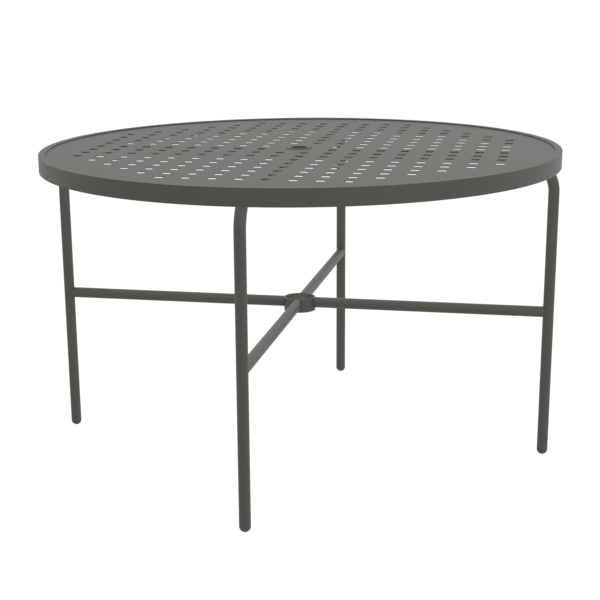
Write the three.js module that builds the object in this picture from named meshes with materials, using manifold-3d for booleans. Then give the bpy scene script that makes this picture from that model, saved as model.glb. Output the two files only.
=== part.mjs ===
// A round patio table for an umbrella. A punched sheet lies in a rolled rim, on a frame of four bent
// tube legs. The legs run in under the sheet to a ring round the umbrella pole, and four stretchers
// brace them to a second, lower ring.
// Lengths are in millimetres. The floor is z = 0 and +Z is up. The umbrella pole runs up the Z axis,
// and the legs stand on the X and Y axes: front is -Y, right is +X, back is +Y, left is -X.

import * as THREE from 'three';
import { mergeGeometries, mergeVertices } from 'three/addons/utils/BufferGeometryUtils.js';
import Module from 'manifold-3d';

const wasm = await Module();
wasm.setup();

// The whole table
const tableHeight = 730.25;
const tableDiameter = 1219.2;

// The gap left between pieces that touch, and how far a cutting tool runs past what it cuts
const fitGap = 0.3;
const overrun = 4;

// Rim: one rolled extrusion with a flat lip on top and a ledge inside that carries the sheet
const rimHeight = 38.1;
const rimLipWidth = 15.9;
const rimWall = 2.5;
const rimLedgeWidth = 9.5;

// Sheet: its top lies a little below the lip, and an octagonal field of square holes is punched in it
const sheetThickness = 1.6;
const sheetRecess = 3;
const holeSide = 19.05;
const holePitch = 56.65;
const holeFieldMargin = 93;

// Grommet: the flanged bush that lines the umbrella hole
const poleBoreDiameter = 40;
const grommetWall = 2.2;
const grommetFlangeDiameter = 60;
const grommetFlangeThickness = 1.5;
const grommetDepth = 12;

// Frame: the legs and stretchers are one size of tube, and both rings are cut from one larger tube
const tubeDiameter = 25.4;
const tubeWall = 2.1;
const legInset = 2.15;
const legBendRadius = 76.2;
const stretcherHeight = 353.3;
const ringDiameter = 76.2;
const ringWall = 3.2;
const ringHeight = 31.75;

// Glide: a round foot with a thin band as wide as the tube, and a barbed stem that is pushed into it
const glideDomeHeight = 12.3;
const glideFlatDiameter = 6;
const glideBandHeight = 0.7;
const glideStemLength = 20;
const glideBarbDepth = 1.4;

// Fixing: a stud welded under the sheet goes down through each arm, a little in from the leg's bend,
// to a saddle washer and a cap nut
const studDiameter = 6;
const studHoleDiameter = 7;
const studReach = 6;
const studInset = 68.55;
const saddleDiameter = 16;
const saddleFloor = 3;
const saddleCheek = 2.4;
const nutAcrossFlats = 10;
const nutHexHeight = 5;
const nutDomeDiameter = 9.4;
const nutShoulderHeight = 2;

// How finely the round forms are faceted
const rimSides = 96;
const ringSides = 40;
const tubeSides = 24;
const boreSides = 16;
const glideSides = 16;
const smallSides = 12;
const bendSteps = 8;
const domeSteps = 4;
const barbCount = 3;
const hexagonSides = 6;

// Places that follow from the sizes
const tableRadius = tableDiameter / 2;
const tubeRadius = tubeDiameter / 2;
const tubeBoreRadius = tubeRadius - tubeWall;
const ringRadius = ringDiameter / 2;
const poleBoreRadius = poleBoreDiameter / 2;
const rimInnerRadius = tableRadius - rimLipWidth;
const sheetRadius = rimInnerRadius - fitGap;
const sheetTop = tableHeight - sheetRecess;
const sheetBottom = sheetTop - sheetThickness;
const frameTop = sheetBottom - fitGap;
const armHeight = frameTop - tubeRadius;
const armBottom = armHeight - tubeRadius;
const legDistance = tableRadius - legInset - tubeRadius;
const lowerRingTop = stretcherHeight + tubeRadius;
const studDistance = legDistance - legBendRadius - studInset;
const glideTop = glideDomeHeight + glideBandHeight;
const grommetRadius = poleBoreRadius + grommetWall;

// Finishes: one warm dark-grey powder coat all over, plastic feet, and bright fixings underneath
const powderCoat = new THREE.MeshStandardMaterial({ color: 0x65625e, roughness: 0.55, metalness: 0.15 });
const glidePlastic = new THREE.MeshStandardMaterial({ color: 0x4f4d4a, roughness: 0.6, metalness: 0 });
const stainless = new THREE.MeshStandardMaterial({ color: 0xb9b8b4, roughness: 0.35, metalness: 1 });

// A closed geometry as a solid that can be joined and cut.
function solidOf(geometry) {
  const bare = geometry.clone();
  bare.deleteAttribute('normal');
  bare.deleteAttribute('uv');
  const merged = mergeVertices(bare);
  return new wasm.Manifold(
    new wasm.Mesh({
      numProp: 3,
      vertProperties: merged.attributes.position.array,
      triVerts: new Uint32Array(merged.index.array),
    }),
  );
}

// A solid as a geometry that a mesh can show.
function geometryOf(solid) {
  const { vertProperties, triVerts } = solid.getMesh();
  const geometry = new THREE.BufferGeometry();
  geometry.setAttribute('position', new THREE.BufferAttribute(vertProperties, 3));
  geometry.setIndex(new THREE.BufferAttribute(triVerts, 1));
  geometry.computeVertexNormals();
  return geometry;
}

// The corners of a regular polygon that stands for a circle round the origin.
function circlePoints(radius, sides) {
  return Array.from({ length: sides }, (_, side) => {
    const angle = (2 * Math.PI * side) / sides;
    return new THREE.Vector2(radius * Math.cos(angle), radius * Math.sin(angle));
  });
}

// A turned piece: the profile is [radius, height] pairs, up the outside and down the inside.
function turned(profile, sides) {
  const points = profile.map(([radius, height]) => new THREE.Vector2(radius, height));
  return new THREE.LatheGeometry(points, sides).rotateX(Math.PI / 2);
}

// A turned piece with a hole up its middle, whose profile closes on itself.
function turnedRing(profile, sides) {
  return turned([...profile, profile[0]], sides);
}

// A round bar that stands on Z from one height to another.
function uprightBar(radius, bottom, top, sides) {
  return turned([[0, bottom], [radius, bottom], [radius, top], [0, top]], sides);
}

// The end view of the frame tube, with its bore.
function tubeSection() {
  const section = new THREE.Shape(circlePoints(tubeRadius, tubeSides));
  section.holes.push(new THREE.Path(circlePoints(tubeBoreRadius, boreSides)));
  return section;
}

// The middle line of a leg: up from the glide, round the bend and in along the arm to the upper ring.
// It is only sampled at its ends and round its bend, so each straight run stays one length of tube.
class LegLine extends THREE.Curve {
  steps = bendSteps + 2;

  // How far round the bend a step is, from 0 on the upright to a quarter turn on the arm.
  bendAngle(step) {
    const turn = THREE.MathUtils.clamp(step - 1, 0, bendSteps);
    return (turn * Math.PI) / (2 * bendSteps);
  }

  getPointAt(share) {
    const step = Math.round(share * this.steps);
    if (step === 0) return new THREE.Vector3(legDistance, 0, glideTop + fitGap);
    if (step === this.steps) return new THREE.Vector3(ringRadius - overrun, 0, armHeight);
    const angle = this.bendAngle(step);
    const inward = legBendRadius * (1 - Math.cos(angle));
    const upward = legBendRadius * (Math.sin(angle) - 1);
    return new THREE.Vector3(legDistance - inward, 0, armHeight + upward);
  }

  getTangentAt(share) {
    const angle = this.bendAngle(Math.round(share * this.steps));
    return new THREE.Vector3(-Math.sin(angle), 0, Math.cos(angle));
  }
}

// The cutter that shapes a tube's end to sit against one of the two rings.
function ringCope(height) {
  const reach = tubeDiameter + ringHeight;
  return solidOf(uprightBar(ringRadius + fitGap, height - reach, height + reach, ringSides));
}

// The places of the square holes: a square lattice that straddles both axes, cut off at an octagon.
function holePlaces() {
  const fieldReach = sheetRadius - holeFieldMargin;
  const cornerReach = fieldReach * Math.SQRT2;
  const clearOfGrommet = grommetFlangeDiameter / 2 + holeSide;
  const rows = Math.floor(fieldReach / holePitch + 1 / 2);
  const places = [];
  for (let row = -rows; row < rows; row += 1) {
    for (let column = -rows; column < rows; column += 1) {
      const x = (column + 1 / 2) * holePitch;
      const y = (row + 1 / 2) * holePitch;
      const inField = Math.abs(x) + Math.abs(y) < cornerReach;
      if (inField && Math.hypot(x, y) > clearOfGrommet) places.push([x, y]);
    }
  }
  return places;
}

// The sheet: a disc with the field of square holes, and the round hole for the grommet.
function sheetGeometry() {
  const outline = new THREE.Shape(circlePoints(sheetRadius, rimSides));
  outline.holes.push(new THREE.Path(circlePoints(grommetRadius + fitGap, ringSides)));
  const disc = new THREE.ExtrudeGeometry(outline, { depth: sheetThickness, bevelEnabled: false });
  const punchLength = sheetThickness + 2 * overrun;
  const punches = holePlaces().map(([x, y]) =>
    new THREE.BoxGeometry(holeSide, holeSide, punchLength).translate(x, y, sheetThickness / 2),
  );
  return geometryOf(solidOf(disc).subtract(solidOf(mergeGeometries(punches))));
}

// The rim: its outer wall hangs down, and a riser goes down from the lip to the ledge.
function rimGeometry() {
  const wallBottom = tableHeight - rimHeight;
  const lipUnderside = tableHeight - rimWall;
  const ledgeTop = sheetBottom - fitGap;
  const ledgeUnderside = ledgeTop - rimWall;
  const ledgeRadius = rimInnerRadius - rimLedgeWidth;
  return turnedRing(
    [
      [tableRadius, wallBottom],
      [tableRadius, tableHeight],
      [rimInnerRadius, tableHeight],
      [rimInnerRadius, ledgeTop],
      [ledgeRadius, ledgeTop],
      [ledgeRadius, ledgeUnderside],
      [rimInnerRadius + rimWall, ledgeUnderside],
      [rimInnerRadius + rimWall, lipUnderside],
      [tableRadius - rimWall, lipUnderside],
      [tableRadius - rimWall, wallBottom],
    ],
    rimSides,
  );
}

// The grommet: a flange on the sheet and a sleeve down through it.
function grommetGeometry() {
  const flangeBottom = sheetTop + fitGap;
  const flangeTop = flangeBottom + grommetFlangeThickness;
  const flangeRadius = grommetFlangeDiameter / 2;
  const sleeveBottom = sheetBottom - grommetDepth;
  return turnedRing(
    [
      [poleBoreRadius, sleeveBottom],
      [grommetRadius, sleeveBottom],
      [grommetRadius, flangeBottom],
      [flangeRadius, flangeBottom],
      [flangeRadius, flangeTop],
      [poleBoreRadius, flangeTop],
    ],
    ringSides,
  );
}

// A ring of the larger tube that the umbrella pole passes through, standing on z = 0.
function poleRingGeometry() {
  const boreRadius = ringRadius - ringWall;
  const profile = [
    [boreRadius, 0],
    [ringRadius, 0],
    [ringRadius, ringHeight],
    [boreRadius, ringHeight],
  ];
  return turnedRing(profile, ringSides);
}

// A leg with its arm, on the +X side: one bent tube, coped to the ring and drilled for its stud.
function legGeometry() {
  const line = new LegLine();
  const tube = new THREE.ExtrudeGeometry(tubeSection(), {
    steps: line.steps,
    extrudePath: line,
    bevelEnabled: false,
  });
  const drill = uprightBar(studHoleDiameter / 2, armBottom - overrun, frameTop + overrun, smallSides);
  drill.translate(studDistance, 0, 0);
  return geometryOf(solidOf(tube).subtract(ringCope(armHeight)).subtract(solidOf(drill)));
}

// A stretcher on the +X side: a straight tube, coped to the lower ring and to its leg.
function stretcherGeometry() {
  const innerEnd = ringRadius - overrun;
  const bar = new THREE.ExtrudeGeometry(tubeSection(), {
    depth: legDistance - innerEnd,
    bevelEnabled: false,
  });
  bar.rotateY(Math.PI / 2).translate(innerEnd, 0, stretcherHeight);

  const copeRadius = tubeRadius + fitGap;
  const copeBottom = stretcherHeight - tubeDiameter;
  const copeTop = stretcherHeight + tubeDiameter;
  const legCope = uprightBar(copeRadius, copeBottom, copeTop, tubeSides);
  legCope.translate(legDistance, 0, 0);
  return geometryOf(solidOf(bar).subtract(ringCope(stretcherHeight)).subtract(solidOf(legCope)));
}

// The glide: a dome cut flat where it meets the floor, a band, and a stem with barbs round it.
function glideGeometry() {
  const flatRadius = glideFlatDiameter / 2;
  const startAngle = Math.asin(flatRadius / tubeRadius);
  const lowest = Math.cos(startAngle);
  const dome = Array.from({ length: domeSteps + 1 }, (_, step) => {
    const angle = startAngle + ((Math.PI / 2 - startAngle) * step) / domeSteps;
    return [tubeRadius * Math.sin(angle), glideDomeHeight * (1 - Math.cos(angle) / lowest)];
  });

  const barbRadius = tubeBoreRadius * Math.cos(Math.PI / boreSides) - fitGap;
  const coreRadius = barbRadius - glideBarbDepth;
  const barbPitch = glideStemLength / barbCount;
  const stem = Array.from({ length: barbCount }, (_, barb) => [
    [barbRadius, glideTop + barb * barbPitch + barbPitch / 2],
    [coreRadius, glideTop + (barb + 1) * barbPitch],
  ]).flat();

  const shoulder = [[tubeRadius, glideTop], [coreRadius, glideTop]];
  const tip = [0, glideTop + glideStemLength];
  return turned([[0, 0], ...dome, ...shoulder, ...stem, tip], glideSides);
}

// The stud, whose top is welded to the sheet.
function studGeometry(nutTop) {
  return uprightBar(studDiameter / 2, nutTop - studReach, frameTop, smallSides);
}

// The saddle washer, hollowed on top to fit round the underside of the arm.
function saddleGeometry(saddleBottom) {
  const block = uprightBar(saddleDiameter / 2, saddleBottom, armBottom + saddleCheek, boreSides);
  const length = saddleDiameter + overrun;
  const arm = new THREE.CylinderGeometry(tubeRadius + fitGap, tubeRadius + fitGap, length, tubeSides);
  arm.rotateZ(Math.PI / 2).translate(0, 0, armHeight);
  const drill = uprightBar(studHoleDiameter / 2, saddleBottom - overrun, armHeight, smallSides);
  return geometryOf(solidOf(block).subtract(solidOf(arm)).subtract(solidOf(drill)));
}

// The cap nut: a hexagon under the saddle, then a shoulder and a dome that close over the stud's end.
function capNutGeometry(nutTop) {
  const cornerRadius = nutAcrossFlats / 2 / Math.cos(Math.PI / hexagonSides);
  const hexBottom = nutTop - nutHexHeight;
  const hexagon = uprightBar(cornerRadius, hexBottom, nutTop, hexagonSides);

  const domeRadius = nutDomeDiameter / 2;
  const shoulderBottom = hexBottom - nutShoulderHeight;
  const dome = Array.from({ length: domeSteps + 1 }, (_, step) => {
    const angle = (Math.PI / 2) * (step / domeSteps);
    return [domeRadius * Math.sin(angle), shoulderBottom - domeRadius * Math.cos(angle)];
  });
  const hexMiddle = nutTop - nutHexHeight / 2;
  const cap = turned([...dome, [domeRadius, hexMiddle], [0, hexMiddle]], smallSides);

  const boreRadius = studDiameter / 2 + fitGap;
  const bore = uprightBar(boreRadius, nutTop - studReach - fitGap, nutTop + overrun, smallSides);
  return geometryOf(solidOf(hexagon).add(solidOf(cap)).subtract(solidOf(bore)));
}

// Adds a named piece to a group and returns it, so that it can be placed.
function addPiece(group, name, geometry, finish) {
  const piece = new THREE.Mesh(geometry, finish);
  piece.name = name;
  group.add(piece);
  return piece;
}

// The top: the sheet in its rim, and the grommet in the sheet
const top = new THREE.Group();
addPiece(top, 'sheet_top', sheetGeometry(), powderCoat).position.z = sheetBottom;
addPiece(top, 'rim', rimGeometry(), powderCoat);
addPiece(top, 'umbrella_grommet', grommetGeometry(), powderCoat);

// The two rings on the pole's line: the lower one's top is level with the tops of the stretchers
const rings = new THREE.Group();
addPiece(rings, 'upper_ring', poleRingGeometry(), powderCoat).position.z = frameTop - ringHeight;
addPiece(rings, 'lower_ring', poleRingGeometry(), powderCoat).position.z = lowerRingTop - ringHeight;

// The four sides, each turned a quarter from the one before, starting on +X
const sideNames = ['right', 'back', 'left', 'front'];
const saddleBottom = armBottom - fitGap - saddleFloor;
const nutTop = saddleBottom - fitGap;
const leg = legGeometry();
const stretcher = stretcherGeometry();
const glide = glideGeometry();
const stud = studGeometry(nutTop);
const saddle = saddleGeometry(saddleBottom);
const capNut = capNutGeometry(nutTop);

const sides = sideNames.map((sideName, quarter) => {
  const side = new THREE.Group();
  side.rotation.z = (quarter * Math.PI) / 2;
  addPiece(side, `leg_${sideName}`, leg, powderCoat);
  addPiece(side, `stretcher_${sideName}`, stretcher, powderCoat);
  addPiece(side, `glide_${sideName}`, glide, glidePlastic).position.x = legDistance;
  addPiece(side, `stud_${sideName}`, stud, stainless).position.x = studDistance;
  addPiece(side, `saddle_washer_${sideName}`, saddle, stainless).position.x = studDistance;
  addPiece(side, `cap_nut_${sideName}`, capNut, stainless).position.x = studDistance;
  return side;
});

const table = new THREE.Group();
table.add(top, rings, ...sides);

export default table;
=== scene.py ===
# %% [markdown]
# # A round umbrella table, dressed in Blender
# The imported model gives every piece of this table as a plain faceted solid, in metres, standing on z = 0
# with the umbrella pole's line on Z. This lesson keeps those places and sizes, and models each piece again
# as it looks when you stand beside the table: a punched sheet in a rolled rim, a frame of round bent tube
# with welded joints, moulded feet, and bright fixings underneath.

# %% Load the frame
import math

import bpy
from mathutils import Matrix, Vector


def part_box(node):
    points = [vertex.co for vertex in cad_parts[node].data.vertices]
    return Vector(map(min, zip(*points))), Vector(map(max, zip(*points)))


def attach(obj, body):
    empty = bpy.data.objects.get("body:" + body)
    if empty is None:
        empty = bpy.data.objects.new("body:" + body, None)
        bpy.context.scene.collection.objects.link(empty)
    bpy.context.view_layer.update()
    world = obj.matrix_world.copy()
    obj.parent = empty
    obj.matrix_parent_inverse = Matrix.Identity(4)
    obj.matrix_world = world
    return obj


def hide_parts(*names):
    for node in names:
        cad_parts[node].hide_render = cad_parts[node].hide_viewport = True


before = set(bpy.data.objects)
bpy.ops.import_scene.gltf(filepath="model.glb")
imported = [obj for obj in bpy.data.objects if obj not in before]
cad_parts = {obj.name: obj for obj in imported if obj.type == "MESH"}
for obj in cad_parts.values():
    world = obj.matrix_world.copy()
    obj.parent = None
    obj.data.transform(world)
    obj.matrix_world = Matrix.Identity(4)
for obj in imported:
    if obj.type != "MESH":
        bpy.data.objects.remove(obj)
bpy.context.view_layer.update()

# %% [markdown]
# ## Sizes
# The nodes' boxes say where the outsides lie, so those are read rather than written again. What a box
# can't tell, such as a wall's thickness or the pitch of the holes, is named here once, in metres.

# %% Sizes read from the solids
mm = 0.001

rim_low, rim_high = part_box("rim")
table_radius = rim_high.x
table_top = rim_high.z
rim_bottom = rim_low.z

sheet_low, sheet_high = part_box("sheet_top")
sheet_radius = sheet_high.x
sheet_bottom = sheet_low.z
sheet_top = sheet_high.z

stretcher_low, stretcher_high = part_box("stretcher_right")
tube_radius = (stretcher_high.z - stretcher_low.z) / 2
stretcher_height = (stretcher_high.z + stretcher_low.z) / 2

leg_low, leg_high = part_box("leg_right")
leg_distance = leg_high.x - tube_radius
arm_height = leg_high.z - tube_radius
leg_foot = leg_low.z

print("tube radius", round(tube_radius, 5), "m")
print("legs at", round(leg_distance, 5), "m, arms at", round(arm_height, 5), "m")

# %% Sizes that the boxes can't tell
fit_gap = 0.3 * mm
joint_line = 0.05 * mm
rim_wall = 2.5 * mm
rim_lip = 15.9 * mm
rim_ledge = 9.5 * mm
riser_draft = 0.8 * mm
hole_side = 19.05 * mm
hole_corner = 0.9 * mm
hole_pitch = 56.65 * mm
hole_field_margin = 93 * mm
pole_bore = 20 * mm
grommet_wall = 2.2 * mm
tube_wall = 2.1 * mm
bend_radius = 76.2 * mm
ring_wall = 3.2 * mm

# How finely the round forms are divided
rim_sides = 256
ring_sides = 128
bore_sides = 96
tube_sides = 64
stud_sides = 48
bend_steps = 28

# How near two places have to be to count as one
same_corner = 0.002 * mm
same_hoop = 0.05 * mm
same_tile_edge = 0.01 * mm

print("holes", round(hole_side, 5), "m wide, every", round(hole_pitch, 5), "m")

# %% [markdown]
# ## The camera
# The photograph was taken from a little to the right of the front leg, with the lens about 1.16 m above
# the floor and tilted down by some 16 degrees. The place and tilt were found by fitting the rim, the legs,
# the stretchers and the feet. The lens is long, and the frame was cropped off centre, which is what the
# two small shifts stand for.

# %% Camera
camera_data = bpy.data.cameras.new("camera")
camera_data.sensor_width = 36
camera_data.lens = 82.111
camera_data.shift_x = 0.05811
camera_data.shift_y = 0.09752
camera = bpy.data.objects.new("camera", camera_data)
camera.location = (0.64348, -3.18095, 1.15805)
camera.rotation_euler = [math.radians(turn) for turn in (73.7016, 0.7304, 12.7496)]
bpy.context.collection.objects.link(camera)
bpy.context.scene.camera = camera
print("camera is", round(camera.location.length, 3), "m from the middle of the floor")

# %% [markdown]
# ## Modelling helpers
# Every piece below is shaped as you would by hand: add a primitive, select something, extrude, scale,
# move. Blender's operators work on whatever is selected, so two small helpers keep the selection honest.
# Four more name a new piece, put its place into its mesh, apply a modifier, and merge doubled corners.

# %% Selecting
def take_up(*pieces):
    """Leaves edit mode, and selects these pieces alone, with the last of them active."""
    if bpy.context.mode != "OBJECT":
        bpy.ops.object.mode_set(mode="OBJECT")
    bpy.ops.object.select_all(action="DESELECT")
    for piece in pieces:
        piece.select_set(True)
        bpy.context.view_layer.objects.active = piece


def pick(piece, kind, wanted):
    """Enters edit mode with just the vertices, edges or faces selected that pass a test."""
    take_up(piece)
    bpy.ops.object.mode_set(mode="EDIT")
    bpy.ops.mesh.select_mode(type=kind)
    bpy.ops.mesh.select_all(action="DESELECT")
    bpy.ops.object.mode_set(mode="OBJECT")
    mesh = piece.data
    for element in {"VERT": mesh.vertices, "EDGE": mesh.edges, "FACE": mesh.polygons}[kind]:
        element.select = bool(wanted(element))
    bpy.ops.object.mode_set(mode="EDIT")


# %% Naming, placing and applying
def newly_added(name):
    """Names the primitive that was just added, and its mesh."""
    piece = bpy.context.object
    piece.name = name
    piece.data.name = name
    return piece


def settle(piece):
    """Puts the piece's place and turn into its mesh, which leaves its object at the origin."""
    take_up(piece)
    bpy.ops.object.transform_apply(location=True, rotation=True, scale=True)
    return piece


def modify(piece, kind, **settings):
    """Adds one modifier, sets it and applies it."""
    take_up(piece)
    bpy.ops.object.modifier_add(type=kind)
    modifier = piece.modifiers[-1]
    for setting, value in settings.items():
        setattr(modifier, setting, value)
    bpy.ops.object.modifier_apply(modifier=modifier.name)
    return piece


def weld(piece):
    """Merges corners that coincide, then turns every face outwards."""
    pick(piece, "VERT", lambda vertex: True)
    bpy.ops.mesh.remove_doubles(threshold=same_corner)
    bpy.ops.mesh.normals_make_consistent(inside=False)
    take_up(piece)
    return piece


# %% [markdown]
# Turned pieces are grown from a circle, as on a potter's wheel: extrude the loop, scale it to the next
# radius, lift it to the next height. A Screw modifier or a spin of the section would do it too, but this
# way each step is one that you can watch. A piece with a bore starts from an open loop and ends on it.

# %% Turned pieces
def turned(name, profile, sides, filled=False):
    """Grows a piece round the Z axis through a list of (radius, height) pairs."""
    (radius, height), *later = profile
    take_up()
    bpy.ops.mesh.primitive_circle_add(
        vertices=sides, radius=radius, location=(0, 0, height), fill_type="NGON" if filled else "NOTHING"
    )
    piece = newly_added(name)
    bpy.ops.object.mode_set(mode="EDIT")
    bpy.ops.mesh.select_all(action="SELECT")
    for next_radius, next_height in later:
        bpy.ops.mesh.extrude_region_move(TRANSFORM_OT_translate={"value": (0, 0, next_height - height)})
        share = next_radius / radius
        bpy.ops.transform.resize(value=(share, share, 1), center_override=(0, 0, next_height))
        radius, height = next_radius, next_height
    weld(piece)
    return settle(piece)


# %% [markdown]
# A sawn, pressed or cast edge is never perfectly sharp, and a coat of powder rounds it further. So each
# piece gets a small bevel on its edges, then smooth shading. Weighted normals keep the flats flat, which
# plain smooth shading would make look pillowed.

# %% Softened edges
def soften(piece, radius, segments=3, sharper_than=40):
    """Bevels every edge that turns by more than an angle, and shades the piece smooth."""
    modify(
        piece,
        "BEVEL",
        width=radius,
        segments=segments,
        limit_method="ANGLE",
        angle_limit=math.radians(sharper_than),
        use_clamp_overlap=True,
    )
    return smooth(piece)


def round_off(piece, radius, height, offset, segments=4):
    """Rounds one hoop of edges of a turned piece, at a radius and height, by more than the rest."""
    corners = piece.data.vertices

    def near_hoop(place):
        return max(abs(place.xy.length - radius), abs(place.z - height)) < same_hoop

    pick(piece, "EDGE", lambda edge: all(near_hoop(corners[index].co) for index in edge.vertices))
    bpy.ops.mesh.bevel(offset=offset, segments=segments, affect="EDGES")
    take_up(piece)


def smooth(piece, angle=40):
    """Shades a piece smooth, except across edges that are still sharp, with its flats left flat."""
    take_up(piece)
    bpy.ops.object.shade_smooth_by_angle(angle=math.radians(angle))
    return modify(piece, "WEIGHTED_NORMAL", keep_sharp=True)


# %% [markdown]
# The frame repeats four times round the pole's line, on +X (right), +Y (back), -X (left) and -Y (front).
# Each of its pieces is modelled once, on the right, and the other three are copies with meshes of their
# own, a quarter turn apart.

# %% Copies on the four sides
side_names = ["right", "back", "left", "front"]


def copy_of(piece, name):
    """A copy of a piece, with a mesh of its own."""
    twin = piece.copy()
    twin.data = piece.data.copy()
    twin.name = name
    twin.data.name = name
    bpy.context.collection.objects.link(twin)
    return twin


def on_four_sides(piece, stem):
    """The piece itself and three copies, each turned a quarter further round the pole's line."""
    piece.name = piece.data.name = f"{stem}_right"
    family = {"right": piece}
    for quarter, side in enumerate(side_names[1:], start=1):
        twin = copy_of(piece, f"{stem}_{side}")
        twin.rotation_euler.z = quarter * math.pi / 2
        family[side] = settle(twin)
    return family


# %% [markdown]
# ## The powder coat
# The whole table wears one finish: a warm dark-grey powder coat, sprayed on dry and baked. Up close it is
# a satin skin with a faint orange peel, a wave a few millimetres long, and a finer grain over that. Its
# colour hardly changes, but a perfectly even colour looks like plastic, so it drifts by a few hundredths
# over a hand's width and again from grain to grain. Everything hangs on Object coordinates, so the grain
# has its real size on every piece.

# %% Node helpers
def new_finish(name):
    """A material with its Principled shader, and a function that adds a node to it."""
    material = bpy.data.materials.new(name)
    material.use_nodes = True
    tree = material.node_tree

    def add(kind, **settings):
        node = tree.nodes.new(kind)
        for setting, value in settings.items():
            setattr(node, setting, value)
        return node

    return material, tree, tree.nodes["Principled BSDF"], add


def noise(add, tree, coordinates, scale, detail, roughness=0.5):
    """A noise texture of so many waves to the metre, and its value socket."""
    node = add("ShaderNodeTexNoise")
    node.inputs["Scale"].default_value = scale
    node.inputs["Detail"].default_value = detail
    node.inputs["Roughness"].default_value = roughness
    tree.links.new(coordinates, node.inputs["Vector"])
    return node.outputs["Fac"]


def spread(add, tree, value, low, high):
    """Spreads a noise's middle range over the numbers from low to high."""
    node = add("ShaderNodeMapRange")
    node.inputs["From Min"].default_value = 0.3
    node.inputs["From Max"].default_value = 0.7
    node.inputs["To Min"].default_value = low
    node.inputs["To Max"].default_value = high
    tree.links.new(value, node.inputs["Value"])
    return node.outputs["Result"]


def drift(add, tree, share, first, second):
    """A colour that drifts from one tone to another."""
    node = add("ShaderNodeMix", data_type="RGBA")
    node.inputs[6].default_value = (*first, 1)
    node.inputs[7].default_value = (*second, 1)
    tree.links.new(share, node.inputs[0])
    return node.outputs[2]


def relief(add, tree, height, depth, below=None):
    """A bump of so many metres, over another bump if there is one."""
    node = add("ShaderNodeBump")
    node.inputs["Strength"].default_value = 1
    node.inputs["Distance"].default_value = depth
    tree.links.new(height, node.inputs["Height"])
    if below is not None:
        tree.links.new(below, node.inputs["Normal"])
    return node.outputs["Normal"]


# %% Powder coat
def make_powder_coat(name, deep_tone, pale_tone):
    """Satin powder coat: drifting tone, fine grain, and the orange peel of a baked film."""
    material, tree, shader, add = new_finish(name)
    place = add("ShaderNodeTexCoord").outputs["Object"]
    clouds = noise(add, tree, place, scale=7, detail=3)
    grains = noise(add, tree, place, scale=900, detail=2)
    peel = noise(add, tree, place, scale=320, detail=1)

    cloud_share = 0.6
    mixed = add("ShaderNodeMath", operation="MULTIPLY_ADD")
    mixed.inputs[1].default_value = cloud_share
    tree.links.new(spread(add, tree, clouds, 0, 1), mixed.inputs[0])
    tree.links.new(spread(add, tree, grains, 0, 1 - cloud_share), mixed.inputs[2])
    tone = drift(add, tree, mixed.outputs[0], deep_tone, pale_tone)
    tree.links.new(tone, shader.inputs["Base Color"])

    tree.links.new(spread(add, tree, clouds, 0.49, 0.51), shader.inputs["Roughness"])
    wave = relief(add, tree, peel, depth=0.012 * mm)
    tree.links.new(relief(add, tree, grains, depth=0.004 * mm, below=wave), shader.inputs["Normal"])
    shader.inputs["Specular IOR Level"].default_value = 0.5
    return material


powder_coat = make_powder_coat("powder_coat", (0.038, 0.034, 0.026), (0.044, 0.040, 0.031))
print("powder coat:", len(powder_coat.node_tree.nodes), "nodes")

# %% [markdown]
# ## Moulded nylon and bright stainless
# The feet are injection-moulded nylon in nearly the coat's grey, a little duller, with the fine spark
# texture of the mould. The studs, washers and nuts under the top are stainless: turned and pressed metal
# whose fine scratches run in all directions, so the scratches are a stretched noise in the roughness and
# a little relief.

# %% Nylon
def make_nylon(name):
    """Moulded nylon with a spark-eroded grain."""
    material, tree, shader, add = new_finish(name)
    place = add("ShaderNodeTexCoord").outputs["Object"]
    clouds = noise(add, tree, place, scale=60, detail=2)
    spark = noise(add, tree, place, scale=1600, detail=2)
    share = spread(add, tree, clouds, 0, 1)
    tone = drift(add, tree, share, (0.037, 0.034, 0.026), (0.043, 0.039, 0.030))
    tree.links.new(tone, shader.inputs["Base Color"])
    tree.links.new(spread(add, tree, spark, 0.52, 0.62), shader.inputs["Roughness"])
    tree.links.new(relief(add, tree, spark, depth=0.02 * mm), shader.inputs["Normal"])
    return material


nylon = make_nylon("moulded_nylon")


# %% Stainless
def make_stainless(name):
    """Bright stainless with fine handling scratches."""
    material, tree, shader, add = new_finish(name)
    place = add("ShaderNodeTexCoord").outputs["Object"]
    stretched = add("ShaderNodeMapping")
    stretched.inputs["Scale"].default_value = (1, 1, 14)
    tree.links.new(place, stretched.inputs["Vector"])
    scratches = noise(add, tree, stretched.outputs["Vector"], scale=420, detail=4, roughness=0.7)
    stains = spread(add, tree, noise(add, tree, place, scale=90, detail=3), 0, 1)
    tone = drift(add, tree, stains, (0.50, 0.49, 0.47), (0.60, 0.59, 0.57))
    tree.links.new(tone, shader.inputs["Base Color"])
    tree.links.new(spread(add, tree, scratches, 0.22, 0.4), shader.inputs["Roughness"])
    tree.links.new(relief(add, tree, scratches, depth=0.01 * mm), shader.inputs["Normal"])
    shader.inputs["Metallic"].default_value = 1
    return material


stainless = make_stainless("stainless_steel")

# %% [markdown]
# Each finished piece takes the place of its solid and rides on the table's one body.

# %% Finishing a piece
def put_on(piece, finish, slot, *nodes):
    """Gives a piece its finish, and lets it stand for the solids that it replaces."""
    piece.data.materials.clear()
    piece.data.materials.append(finish)
    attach(piece, "root")
    if nodes:
        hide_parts(*nodes)
    return piece


def facts(piece):
    """A line on a piece's size, for the reader."""
    low = [min(vertex.co[axis] for vertex in piece.data.vertices) for axis in range(3)]
    high = [max(vertex.co[axis] for vertex in piece.data.vertices) for axis in range(3)]
    size = " x ".join(f"{(end - start) / mm:.1f}" for start, end in zip(low, high))
    print(f"{piece.name}: {size} mm, {len(piece.data.polygons)} faces")


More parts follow.
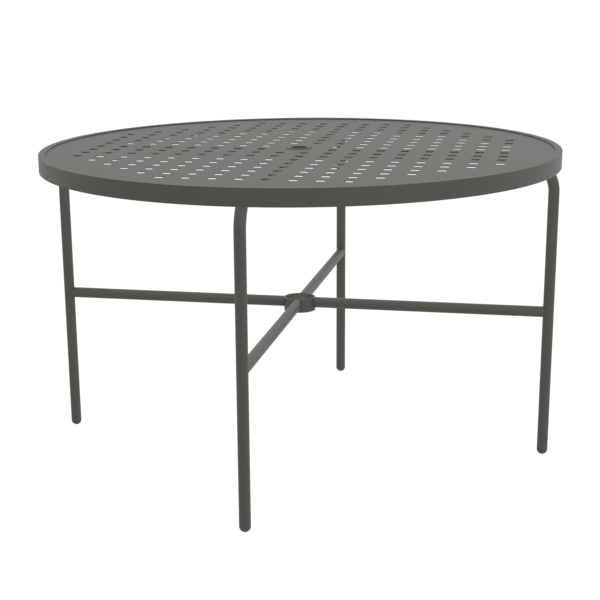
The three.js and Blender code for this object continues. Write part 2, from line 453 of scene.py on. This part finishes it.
# %% [markdown]
# ## The rim
# On the real table the rim is an aluminium extrusion, rolled into a hoop and welded shut. Its lip is flat,
# its outer wall hangs down about 38 mm, and a riser drops from the lip's inner edge to a ledge that carries
# the sheet. The riser leans a little, as a die's draft would have it, so it catches the light. A Curve with
# a bevel object would do, but the section is all straight lines, so growing the outer skin from one loop
# and giving it the wall's thickness afterwards is the plainer way.

# %% Rim
lip_inner = table_radius - rim_lip
ledge_top = sheet_bottom - fit_gap
rim_skin = [
    (table_radius, rim_bottom),
    (table_radius, table_top),
    (lip_inner, table_top),
    (lip_inner - riser_draft, ledge_top),
    (lip_inner - rim_ledge, ledge_top),
]
rim = turned("rolled_rim", rim_skin, sides=rim_sides)
modify(rim, "SOLIDIFY", thickness=rim_wall, offset=-1, use_even_offset=True)
soften(rim, 0.7 * mm)
put_on(rim, powder_coat, "top_powder_coat", "rim")
facts(rim)

# %% [markdown]
# ## The punched sheet
# The sheet is punched with square holes on a square lattice that straddles both axes, and the field of
# holes is cut off at an octagon. You could subtract 260 punches from a disc, but that leaves a mesh of
# slivers. Instead one tile of the lattice is made, a square with its hole, and repeated by two Array
# modifiers. The tiles that have no hole are then taken away, and the plain metal is filled in between the
# field's stepped edge and the two circles.

# %% One tile with its hole
rows = math.floor((sheet_radius - hole_field_margin) / hole_pitch + 1 / 2)
first_tile = (1 / 2 - rows) * hole_pitch
take_up()
bpy.ops.mesh.primitive_plane_add(size=hole_pitch, location=(first_tile, first_tile, sheet_top))
sheet = newly_added("punched_sheet")
bpy.ops.object.mode_set(mode="EDIT")
bpy.ops.mesh.select_all(action="SELECT")
bpy.ops.mesh.inset(thickness=(hole_pitch - hole_side) / 2)
bpy.ops.mesh.bevel(offset=hole_corner, segments=1, affect="VERTICES")
settle(sheet)


def near_middle_of_tile(face):
    """True for the face that stands where the hole is punched."""
    return math.hypot(face.center.x - first_tile, face.center.y - first_tile) < hole_side / 4


pick(sheet, "FACE", near_middle_of_tile)
bpy.ops.mesh.delete(type="FACE")
take_up(sheet)
faces_to_a_tile = len(sheet.data.polygons)
facts(sheet)

# %% The lattice of tiles
for direction in ((hole_pitch, 0, 0), (0, hole_pitch, 0)):
    modify(
        sheet,
        "ARRAY",
        count=2 * rows,
        use_relative_offset=False,
        use_constant_offset=True,
        constant_offset_displace=direction,
        use_merge_vertices=True,
        merge_threshold=same_tile_edge,
    )
facts(sheet)


# %% Tiles outside the field of holes
def tile_has_no_hole(face):
    """True where a face's tile lies outside the octagon, or where the umbrella hole takes its place."""
    x = (math.floor(face.center.x / hole_pitch) + 1 / 2) * hole_pitch
    y = (math.floor(face.center.y / hole_pitch) + 1 / 2) * hole_pitch
    outside = abs(x) + abs(y) >= (sheet_radius - hole_field_margin) * math.sqrt(2)
    return outside or math.hypot(x, y) < hole_pitch


pick(sheet, "FACE", tile_has_no_hole)
bpy.ops.mesh.delete(type="FACE")
take_up(sheet)
print("holes punched:", len(sheet.data.polygons) // faces_to_a_tile)


# %% Plain metal out to the edge, and in to the umbrella hole
def is_open_border(nearest, farthest):
    """A test for edges in a belt of radii that bound the mesh and lie on a tile's side or on a circle."""
    mesh = sheet.data
    faces_on = {}
    for face in mesh.polygons:
        for key in face.edge_keys:
            faces_on[key] = faces_on.get(key, 0) + 1

    def test(edge):
        start, end = (mesh.vertices[index].co for index in edge.vertices)
        middle = (start + end) / 2
        off_lattice = min(abs(side / hole_pitch - round(side / hole_pitch)) for side in middle.xy)
        wire = faces_on.get(edge.key, 0) == 0
        border = faces_on.get(edge.key, 0) == 1 and off_lattice < 0.001
        return (wire or border) and nearest < middle.xy.length < farthest

    return test


lean_at_sheet = riser_draft * (table_top - sheet_top) / (table_top - ledge_top)
seat_radius = lip_inner - lean_at_sheet - joint_line
sleeve_radius = pole_bore + grommet_wall
belts = [
    ("the edge", seat_radius, rim_sides, hole_pitch * 2, sheet_radius * 2),
    ("the umbrella hole", sleeve_radius + fit_gap, bore_sides, 0, hole_pitch * 2),
]
for label, radius, sides, nearest, farthest in belts:
    pick(sheet, "VERT", lambda vertex: False)
    bpy.ops.mesh.primitive_circle_add(vertices=sides, radius=radius, location=(0, 0, sheet_top))
    take_up(sheet)
    pick(sheet, "EDGE", is_open_border(nearest, farthest))
    bpy.ops.mesh.fill(use_beauty=True)
    take_up(sheet)
    print("filled to", label, "and now", len(sheet.data.polygons), "faces")

# %% Thickness and pressed edges
weld(sheet)
if sheet.data.polygons[0].normal.z < 0:
    pick(sheet, "FACE", lambda face: True)
    bpy.ops.mesh.flip_normals()
    take_up(sheet)
modify(sheet, "SOLIDIFY", thickness=sheet_top - sheet_bottom, offset=-1)
soften(sheet, 0.25 * mm, segments=1, sharper_than=60)
smooth(sheet, angle=50)
put_on(sheet, powder_coat, "top_powder_coat", "sheet_top")
facts(sheet)

# %% [markdown]
# ## The grommet
# A flanged bush lines the umbrella hole, so that the pole doesn't wear the sheet's edge. It is turned, with
# a thin flange on the sheet and a sleeve through it. Its section closes on itself, so the last loop lands
# on the first and the two are merged.

# %% Grommet
grommet_low, grommet_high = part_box("umbrella_grommet")
grommet_section = [
    (pole_bore, grommet_low.z),
    (sleeve_radius, grommet_low.z),
    (sleeve_radius, sheet_top),
    (grommet_high.x, sheet_top),
    (grommet_high.x, grommet_high.z),
    (pole_bore, grommet_high.z),
    (pole_bore, grommet_low.z),
]
grommet = turned("flanged_grommet", grommet_section, sides=bore_sides)
round_off(grommet, grommet_high.x, grommet_high.z, 1 * mm)
soften(grommet, 0.4 * mm)
put_on(grommet, powder_coat, "top_powder_coat", "umbrella_grommet")
facts(grommet)

# %% [markdown]
# ## The two rings
# Both rings are short lengths sawn from one larger tube. The arms meet the upper one under the sheet, and
# the stretchers meet the lower one at knee height. The umbrella pole passes through both.

# %% Rings
lower_ring_low, lower_ring_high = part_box("lower_ring")
ring_radius = lower_ring_high.x
ring_bore = ring_radius - ring_wall
for which in ("upper", "lower"):
    ring_low, ring_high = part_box(f"{which}_ring")
    ring_section = [
        (ring_bore, ring_low.z),
        (ring_radius, ring_low.z),
        (ring_radius, ring_high.z),
        (ring_bore, ring_high.z),
        (ring_bore, ring_low.z),
    ]
    ring = turned(f"{which}_pole_ring", ring_section, sides=ring_sides)
    soften(ring, 0.7 * mm)
    put_on(ring, powder_coat, "frame_powder_coat", f"{which}_ring")
    facts(ring)

# %% [markdown]
# ## The legs
# Each leg is one tube: it rises from its glide, bends in through a quarter turn under the sheet, and runs
# as an arm to the upper ring. A bevelled Curve would give the same skin. Here the loop at the foot is
# extruded up, spun through the bend about the bender's axis, and extruded in, just as the tube is bent.
# The wall is then given its thickness, the end is coped with a cutter as wide as the ring, and the arm is
# drilled for its stud.

# %% Cutting
# How far a tube runs on into what it is coped to, and how long a bar is that cuts right through
run_in = 10 * mm
bar_length = 80 * mm


def round_cutter(radius, middle, length=bar_length, along="Z", sides=ring_sides):
    """A round bar to cut with, standing on Z or lying along X."""
    take_up()
    lie = (0, math.pi / 2, 0) if along == "X" else (0, 0, 0)
    bpy.ops.mesh.primitive_cylinder_add(
        vertices=sides, radius=radius, depth=length, location=middle, rotation=lie
    )
    return settle(newly_added("cutter"))


def combine(piece, other, operation="DIFFERENCE"):
    """Cuts, joins or intersects a piece with another one, which is thrown away, and merges close corners."""
    modify(piece, "BOOLEAN", operation=operation, object=other, solver="EXACT")
    bpy.data.objects.remove(other)
    return weld(piece)


# %% Leg tube
bend_height = arm_height - bend_radius
take_up()
bpy.ops.mesh.primitive_circle_add(
    vertices=tube_sides, radius=tube_radius, location=(leg_distance, 0, leg_foot)
)
leg = newly_added("leg_tube")
bpy.ops.object.mode_set(mode="EDIT")
bpy.ops.mesh.select_all(action="SELECT")
bpy.ops.mesh.extrude_region_move(TRANSFORM_OT_translate={"value": (0, 0, bend_height - leg_foot)})
bpy.ops.mesh.spin(
    steps=bend_steps, angle=math.pi / 2, center=(leg_distance - bend_radius, 0, bend_height), axis=(0, 1, 0)
)
arm_length = leg_distance - bend_radius - ring_radius + run_in
bpy.ops.mesh.extrude_region_move(TRANSFORM_OT_translate={"value": (-arm_length, 0, 0)})
weld(settle(leg))
facts(leg)

# %% Wall, cope and stud hole
stud_low, stud_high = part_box("stud_right")
stud_distance = (stud_low.x + stud_high.x) / 2
stud_radius = (stud_high.x - stud_low.x) / 2
stud_hole = stud_radius + 0.5 * mm
modify(leg, "SOLIDIFY", thickness=tube_wall, offset=-1)
combine(leg, round_cutter(ring_radius + joint_line, (0, 0, arm_height)))
combine(leg, round_cutter(stud_hole, (stud_distance, 0, arm_height), sides=stud_sides))
smooth(leg)
for side, piece in on_four_sides(leg, "bent_tube").items():
    put_on(piece, powder_coat, "frame_powder_coat", f"leg_{side}")
facts(leg)

# %% [markdown]
# ## The stretchers
# A stretcher is a straight length of the same tube, coped at both ends: round the lower ring at one and
# round its leg at the other.

# %% Stretchers
take_up()
bpy.ops.mesh.primitive_circle_add(
    vertices=tube_sides,
    radius=tube_radius,
    location=(ring_radius - run_in, 0, stretcher_height),
    rotation=(0, math.pi / 2, 0),
)
stretcher = newly_added("stretcher_tube")
bpy.ops.object.mode_set(mode="EDIT")
bpy.ops.mesh.select_all(action="SELECT")
span = leg_distance - ring_radius + run_in
bpy.ops.mesh.extrude_region_move(TRANSFORM_OT_translate={"value": (span, 0, 0)})
weld(settle(stretcher))
modify(stretcher, "SOLIDIFY", thickness=tube_wall, offset=-1)
combine(stretcher, round_cutter(ring_radius + joint_line, (0, 0, stretcher_height)))
combine(stretcher, round_cutter(tube_radius + joint_line, (leg_distance, 0, stretcher_height)))
smooth(stretcher)
for side, piece in on_four_sides(stretcher, "brace_tube").items():
    put_on(piece, powder_coat, "frame_powder_coat", f"stretcher_{side}")
facts(stretcher)

# %% [markdown]
# ## The weld beads
# A coped tube is welded all round. The bead is a row of overlapping puddles, so it looks like a stack of
# coins laid over, softened by the powder. To lay it where the two tubes meet, a circle as wide as the one
# tube is projected onto the other by a Shrinkwrap modifier. The loop then becomes a curve with a round
# bevel, whose thickness swells and shrinks from puddle to puddle.

# %% One bead
bead_radius = 0.8 * mm
bead_set_in = 0.3 * mm
bead_wall_sides = 256
puddles = 34
steps_to_a_puddle = 6
swell_share = 0.09


def weld_bead(name, middle, target_radius, target_middle):
    """A bead round the end of a tube that lies along X, laid on an upright tube."""
    steps = steps_to_a_puddle * puddles
    take_up()
    bpy.ops.mesh.primitive_circle_add(
        vertices=steps, radius=tube_radius - bead_set_in, location=middle, rotation=(0, math.pi / 2, 0)
    )
    loop = settle(newly_added(name))
    wall = round_cutter(target_radius, target_middle, sides=bead_wall_sides)
    modify(
        loop,
        "SHRINKWRAP",
        target=wall,
        wrap_method="PROJECT",
        use_project_x=True,
        use_project_y=False,
        use_project_z=False,
        use_negative_direction=True,
        use_positive_direction=True,
    )
    bpy.data.objects.remove(wall)
    take_up(loop)
    bpy.ops.object.convert(target="CURVE")
    curve = loop.data
    curve.bevel_depth = bead_radius
    curve.bevel_resolution = 3
    for index, point in enumerate(curve.splines[0].points):
        point.radius = 1 + swell_share * math.sin(2 * math.pi * index / steps_to_a_puddle)
    bpy.ops.object.convert(target="MESH")
    weld(loop)
    return smooth(loop)


# %% Beads on the four sides
# Each loop starts this far off the tube that it is laid on
start_off = 30 * mm
off_ring = ring_radius + start_off
off_leg = leg_distance - start_off
bead_places = {
    "leg_bead": (off_leg, stretcher_height, tube_radius, leg_distance),
    "ring_bead": (off_ring, stretcher_height, ring_radius, 0),
    "arm_bead": (off_ring, arm_height, ring_radius, 0),
}
beads = {
    stem: weld_bead(stem, (start, 0, height), target_radius, (target_distance, 0, height))
    for stem, (start, height, target_radius, target_distance) in bead_places.items()
}
for stem, bead in beads.items():
    facts(bead)
    for piece in on_four_sides(bead, stem).values():
        put_on(piece, powder_coat, "frame_powder_coat")

# %% [markdown]
# ## The glides
# A glide is pushed into the foot of each leg. Its foot is round, and ground flat where it stands. A thin
# band as wide as the tube comes next, and then a stem with barbs that grip the bore. It grows from a filled
# circle, so that it is closed at both ends.

# %% The glides' feet
stem_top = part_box("glide_right")[1].z
dome_height = 12.3 * mm
band_top = leg_foot - joint_line
flat_radius = 3 * mm
arc_steps = 12
start_angle = math.asin(flat_radius / tube_radius)
dome = []
for step in range(arc_steps + 1):
    angle = start_angle + (math.pi / 2 - start_angle) * step / arc_steps
    rise = 1 - math.cos(angle) / math.cos(start_angle)
    dome.append((tube_radius * math.sin(angle), dome_height * rise))
print("foot:", len(dome), "points, widest at", round(dome[-1][1], 5), "m")

# %% The glides' stems
barb_count = 3
barb_clearance = 0.4 * mm
barb_depth = 1.4 * mm
barb_radius = tube_radius - tube_wall - barb_clearance
core_radius = barb_radius - barb_depth
barb_pitch = (stem_top - band_top) / barb_count
stem = [(core_radius, band_top)]
for barb in range(barb_count):
    barb_foot = band_top + barb * barb_pitch
    stem += [(barb_radius, barb_foot + barb_pitch / 2), (core_radius, barb_foot + barb_pitch)]
stem.append((core_radius / 2, stem_top))
glide = turned("glide", [*dome, (tube_radius, band_top), *stem], sides=tube_sides, filled=True)
soften(glide, 0.25 * mm, segments=2)
glide.location.x = leg_distance
settle(glide)
for side, piece in on_four_sides(glide, "domed_glide").items():
    put_on(piece, nylon, "glide_plastic", f"glide_{side}")
facts(glide)

# %% [markdown]
# ## The fixings
# A stud welded under the sheet goes down through each arm to a saddle washer and a cap nut. The saddle is
# a round block hollowed to the arm's curve. The nut starts from a six-sided circle. Its corners are taken
# off by intersecting it with a turned blank that is bevelled at both ends, just as a real nut is chamfered,
# and that is what gives each flat its curved ends.

# %% Studs and saddle washers
chamfer = 0.6 * mm
stud_outline = [
    (stud_radius - chamfer, stud_low.z),
    (stud_radius, stud_low.z + chamfer),
    (stud_radius, sheet_bottom - chamfer),
    (stud_radius + chamfer, sheet_bottom),
]
stud = turned("stud", stud_outline, sides=stud_sides, filled=True)
smooth(stud)

saddle_low, saddle_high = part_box("saddle_washer_right")
saddle_radius = (saddle_high.y - saddle_low.y) / 2
saddle_outline = [(saddle_radius, saddle_low.z), (saddle_radius, saddle_high.z)]
saddle = turned("saddle", saddle_outline, sides=bore_sides, filled=True)
combine(saddle, round_cutter(tube_radius + joint_line, (0, 0, arm_height), along="X"))
combine(saddle, round_cutter(stud_hole, (0, 0, saddle_low.z), sides=stud_sides))
soften(saddle, 0.3 * mm, segments=2)
facts(stud)
facts(saddle)

# %% Cap nuts
nut_low, nut_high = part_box("cap_nut_right")
across_flats = 10 * mm
hex_height = 5 * mm
end_set_in = 0.1 * mm
blank_overlap = 0.02 * mm
corner_radius = across_flats / 2 / math.cos(math.pi / 6)
hex_bottom = nut_high.z - hex_height
nut_outline = [(corner_radius, hex_bottom), (corner_radius, nut_high.z)]
nut = turned("nut", nut_outline, sides=6, filled=True)
blank_end = across_flats / 2 - end_set_in
blank_radius = corner_radius + blank_overlap
chamfer_drop = (corner_radius - blank_end) * math.tan(math.pi / 6)
blank = [
    (blank_end, hex_bottom),
    (blank_radius, hex_bottom + chamfer_drop),
    (blank_radius, nut_high.z - chamfer_drop),
    (blank_end, nut_high.z),
]
combine(nut, turned("blank", blank, sides=bore_sides, filled=True), "INTERSECT")
facts(nut)

# %% The nut's cap and thread
cap_radius = 4.7 * mm
cap_sunk = 2 * mm
thread_radius = stud_radius + 0.1 * mm
thread_depth = 6.2 * mm
shoulder = nut_low.z + cap_radius
cap = []
for step in range(1, arc_steps + 1):
    angle = math.pi / 2 * step / arc_steps
    cap.append((cap_radius * math.sin(angle), shoulder - cap_radius * math.cos(angle)))
cap.append((cap_radius, hex_bottom + cap_sunk))
combine(nut, turned("cap", cap, sides=bore_sides, filled=True), "UNION")
thread = round_cutter(thread_radius, (0, 0, nut_high.z), 2 * thread_depth, sides=stud_sides)
combine(nut, thread)
smooth(nut, angle=30)
facts(nut)

# %% Fixings on the four sides
fixings = [(stud, "welded_stud", "stud"), (saddle, "saddle", "saddle_washer"), (nut, "nut", "cap_nut")]
for piece, stem, node in fixings:
    piece.location.x = stud_distance
    settle(piece)
    family = on_four_sides(piece, stem)
    for side, twin in family.items():
        put_on(twin, stainless, "stainless_fixing", f"{node}_{side}")
    print("placed:", ", ".join(twin.name for twin in family.values()))

# %% [markdown]
# ## The studio
# The table was photographed as if it stood in a white cove: no wall, no horizon, hardly a shadow, and even
# light from all around. So the floor and the cove are one white shell that only the camera sees. It is
# clear from behind, which lets you look up at the table from below. The light comes from an even sky, a
# touch brighter overhead and on the right, and from four soft panels. A weak one stands at the front
# right. Two hang under the top, where the sky can't reach: a wide one shines down on the frame and a
# smaller one up at the arms, as the light thrown back by a white floor and white walls would. The last is
# a small one in the mouth of the lower ring, which lights the ring's inside in the same way.

# %% Floor and cove
cove_radius = 15
floor_middle = (0, 0, -0.5 * mm)
take_up()
bpy.ops.mesh.primitive_uv_sphere_add(
    segments=48, ring_count=24, radius=cove_radius, location=floor_middle
)
cove = settle(newly_added("white_cove"))
pick(cove, "FACE", lambda face: True)
bpy.ops.mesh.bisect(plane_co=floor_middle, plane_no=(0, 0, -1), use_fill=True, clear_outer=True)
bpy.ops.mesh.select_all(action="SELECT")
bpy.ops.mesh.normals_make_consistent(inside=True)
take_up(cove)
bpy.ops.object.shade_smooth_by_angle(angle=math.radians(30))

white, white_tree, white_shader, add = new_finish("white_card")
glow = add("ShaderNodeEmission")
glow.inputs["Strength"].default_value = 1.05
clear = add("ShaderNodeBsdfTransparent")
facing = add("ShaderNodeNewGeometry")
either = add("ShaderNodeMixShader")
white_tree.links.new(facing.outputs["Backfacing"], either.inputs[0])
white_tree.links.new(glow.outputs[0], either.inputs[1])
white_tree.links.new(clear.outputs[0], either.inputs[2])
white_tree.links.new(either.outputs[0], white_tree.nodes["Material Output"].inputs["Surface"])
white_tree.nodes.remove(white_shader)
white.cycles.emission_sampling = "NONE"
cove.data.materials.append(white)
for ray in ("diffuse", "glossy", "transmission", "volume_scatter", "shadow"):
    setattr(cove, f"visible_{ray}", False)
facts(cove)

# %% Even sky
even_strength = 1.013
gain_by_direction = (0.10, 0, 0.15)
world = bpy.data.worlds.new("even_sky")
world.use_nodes = True
sky = world.node_tree
background = sky.nodes["Background"]
background.inputs["Color"].default_value = (1, 1, 1, 1)
direction = sky.nodes.new("ShaderNodeTexCoord")
slope = sky.nodes.new("ShaderNodeVectorMath")
slope.operation = "DOT_PRODUCT"
slope.inputs[1].default_value = gain_by_direction
brightness = sky.nodes.new("ShaderNodeMath")
brightness.operation = "ADD"
brightness.inputs[1].default_value = even_strength
sky.links.new(direction.outputs["Generated"], slope.inputs[0])
sky.links.new(slope.outputs["Value"], brightness.inputs[0])
sky.links.new(brightness.outputs[0], background.inputs["Strength"])
bpy.context.scene.world = world
print("sky:", len(sky.nodes), "nodes")


# %% Soft panels
def soft_panel(name, size, place, aim, power):
    """A square area light at a place, turned to face a point."""
    data = bpy.data.lights.new(name, "AREA")
    data.shape = "SQUARE"
    data.size = size
    data.energy = power
    panel = bpy.data.objects.new(name, data)
    panel.location = place
    panel.rotation_euler = (Vector(aim) - Vector(place)).to_track_quat("-Z", "Y").to_euler()
    panel.visible_camera = False
    bpy.context.collection.objects.link(panel)
    return panel


under_top = rim_bottom - 2 * mm
ring_mouth = lower_ring_low.z + 1 * mm
soft_panel("front_right_panel", 3, (4, -4, 2.2), (0, 0, 0.5), 25)
soft_panel("panel_down_on_the_frame", 1.225, (0, 0, under_top), (0, 0, 0), 5.2)
soft_panel("panel_up_at_the_arms", 0.8, (0, 0, under_top - 2 * mm), (0, 0, table_top), 0.8)
soft_panel("panel_in_the_ring", 0.048, (0, 0, ring_mouth), (0, 0, table_top), 0.018)
print("panels:", len(bpy.data.lights))

# %% Colours as the camera sees them
scene = bpy.context.scene
scene.view_settings.view_transform = "Standard"
scene.view_settings.look = "None"
scene.view_settings.exposure = 0
scene.view_settings.gamma = 1
